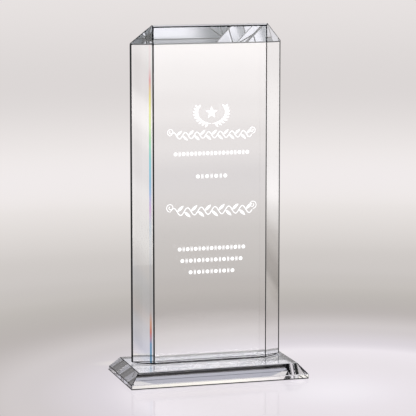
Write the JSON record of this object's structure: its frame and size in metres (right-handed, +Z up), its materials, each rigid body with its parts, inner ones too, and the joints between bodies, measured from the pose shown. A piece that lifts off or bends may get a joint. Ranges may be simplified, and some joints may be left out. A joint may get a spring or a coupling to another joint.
{
  "type": "crystal award",
  "caption": "Clear bevelled crystal tower award with a back-sloping top, glued upright on a low bevelled rectangular crystal base",
  "frame": {"origin": "the middle of the underside of the base, on the surface that the award stands on", "axes": "+Z is up along the tower, +X is to the right as seen from the front, and the front face looks along -Y"},
  "size_m": [0.14, 0.072, 0.27],
  "materials": {
    "tower_crystal": "polished clear optical crystal, sandblasted white marks on the front face",
    "base_crystal": "polished clear optical crystal",
    "clear_adhesive": "cured clear ultraviolet adhesive, thin film"
  },
  "bodies": {
    "root": {"crystal_tower": "tower_crystal", "bevelled_base": "base_crystal", "adhesive_film": "clear_adhesive"}
  },
  "joints": []
}
